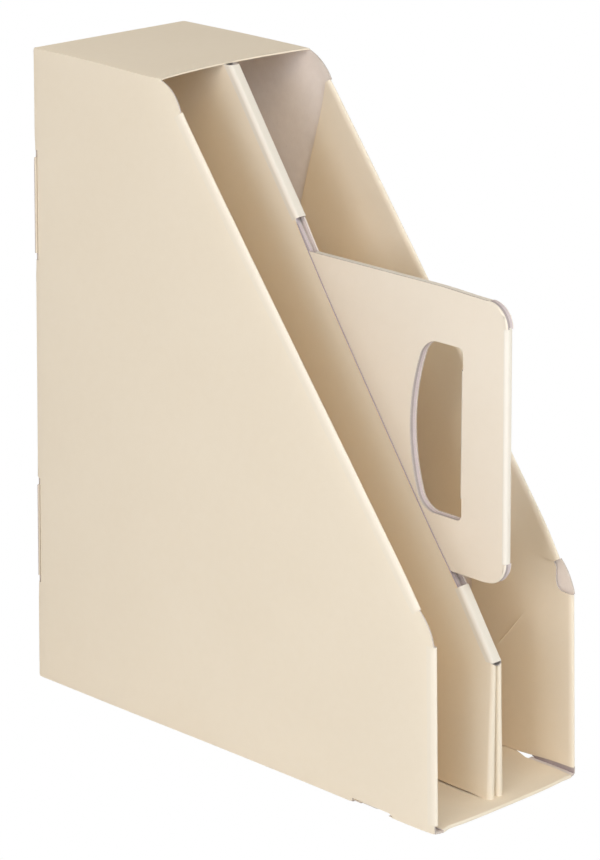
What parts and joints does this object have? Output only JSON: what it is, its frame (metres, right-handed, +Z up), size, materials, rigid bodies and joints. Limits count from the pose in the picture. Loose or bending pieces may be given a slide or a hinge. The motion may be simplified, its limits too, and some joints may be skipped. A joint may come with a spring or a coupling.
{
  "type": "file box",
  "caption": "Upright file box of folded board with a slanted open front, a slotted divider between its bays and a pull-out carrying handle in the divider.",
  "frame": {"origin": "middle of the footprint, on the surface that the box stands on", "axes": "+Z up, the open slanted front faces -Y, +X to the right when looking into the open front"},
  "size_m": [0.1, 0.269, 0.318],
  "materials": {
    "shell_board": "matte",
    "divider_board": "matte",
    "handle_board": "matte",
    "handle_core": "matte"
  },
  "bodies": {
    "box": {"back_panel": "shell_board", "top_panel": "shell_board", "bottom_panel": "shell_board", "floor_liner": "shell_board", "top_tuck_flap": "shell_board", "bottom_tuck_flap": "shell_board", "divider_upper_ridge": "divider_board", "divider_lower_ridge": "divider_board", "left_side_panel": "shell_board", "left_slope_lining": "shell_board", "left_front_lining": "shell_board", "divider_left_skin": "divider_board", "divider_left_front_hem": "divider_board", "divider_left_rear_flange": "divider_board", "right_side_panel": "shell_board", "right_slope_lining": "shell_board", "right_front_lining": "shell_board", "divider_right_skin": "divider_board", "divider_right_front_hem": "divider_board", "divider_right_rear_flange": "divider_board"},
    "handle": {"handle_top_strip": "handle_board", "handle_front_strip": "handle_board", "handle_left_face": "handle_board", "handle_left_backing": "handle_core", "handle_left_grip_flap": "handle_board", "handle_right_face": "handle_board", "handle_right_backing": "handle_core", "handle_right_grip_flap": "handle_board"}
  },
  "joints": [
    {"name": "handle_slide", "type": "slide", "parent": "box", "child": "handle", "axis": [0, 1, 0], "range_m": [0, 0.1]}
  ]
}
